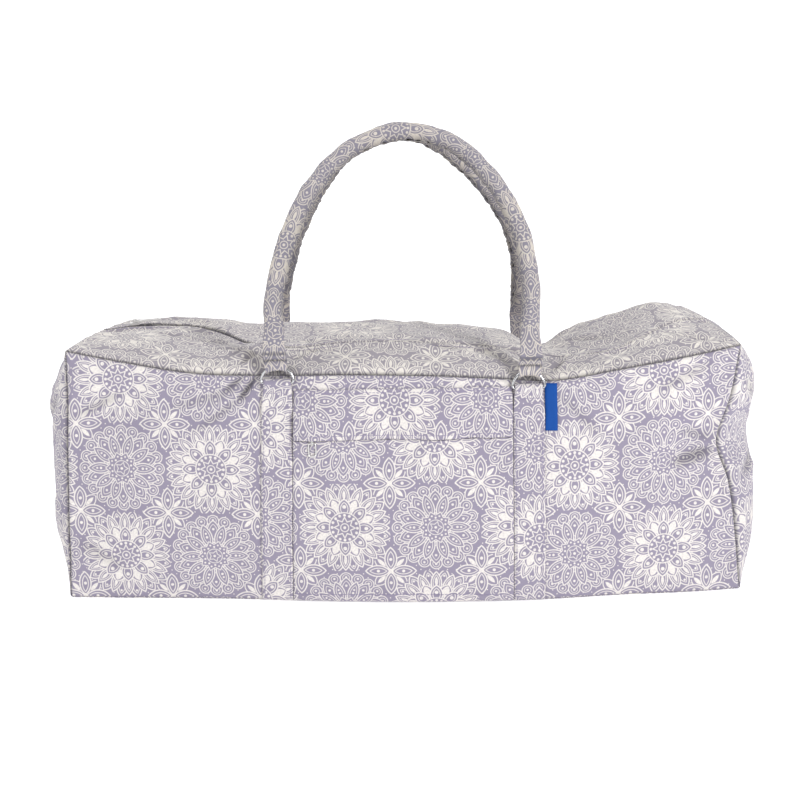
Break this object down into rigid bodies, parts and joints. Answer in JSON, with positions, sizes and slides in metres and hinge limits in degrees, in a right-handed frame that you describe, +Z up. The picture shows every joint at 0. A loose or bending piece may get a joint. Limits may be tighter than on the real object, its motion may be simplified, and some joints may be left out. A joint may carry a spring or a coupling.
{
  "type": "yoga mat bag",
  "caption": "Filled box-shaped canvas holdall for a rolled exercise mat, with a zip along the top, wire rings, two padded tube handles and a flat outer zip pocket.",
  "frame": {"origin": "middle of the flat base, on the surface that the bag stands on", "axes": "+X along the bag to the right seen from the front, +Y from the front to the back, +Z up"},
  "size_m": [0.6933, 0.2858, 0.4472],
  "materials": {
    "printed_canvas": "matte cotton canvas, lavender ground with a cream line print",
    "strap_canvas": "matte cotton canvas, the same print, topstitched",
    "handle_canvas": "matte cotton canvas round a padded core, the same print",
    "zip_tape": "woven polyester tape with nylon teeth",
    "zip_metal": "bright nickel plate",
    "ring_metal": "bright nickel-plated wire",
    "label_ribbon": "plain blue woven ribbon"
  },
  "bodies": {
    "root": {"front_panel": "printed_canvas", "back_panel": "printed_canvas", "base_panel": "printed_canvas", "end_panel_left": "printed_canvas", "end_panel_right": "printed_canvas", "top_panel_front": "printed_canvas", "top_panel_back": "printed_canvas", "main_zip_tape": "zip_tape", "main_zip_slider": "zip_metal", "pocket_panel": "printed_canvas", "pocket_flap": "printed_canvas", "pocket_zip_tape": "zip_tape", "pocket_zip_slider": "zip_metal", "strap_front_left": "strap_canvas", "strap_front_right": "strap_canvas", "strap_back_left": "strap_canvas", "strap_back_right": "strap_canvas", "ring_front_left": "ring_metal", "ring_front_right": "ring_metal", "ring_back_left": "ring_metal", "ring_back_right": "ring_metal", "handle_front": "handle_canvas", "handle_back": "handle_canvas", "side_label": "label_ribbon", "end_tab": "strap_canvas"},
    "main_puller": {"main_zip_puller": "zip_metal"},
    "pocket_puller": {"pocket_zip_puller": "zip_metal"}
  },
  "joints": [
    {"name": "main_puller_hinge", "type": "hinge", "parent": "root", "child": "main_puller", "pos_m": [-0.27112, 0.01299, 0.2521], "axis": [0.0958, -0.9954, 0.0088], "range_deg": [0, 150]},
    {"name": "pocket_puller_hinge", "type": "hinge", "parent": "root", "child": "pocket_puller", "pos_m": [-0.08676, -0.13781, 0.15858], "axis": [-0.9986, 0.0528, -0.0081], "range_deg": [0, 80]}
  ]
}
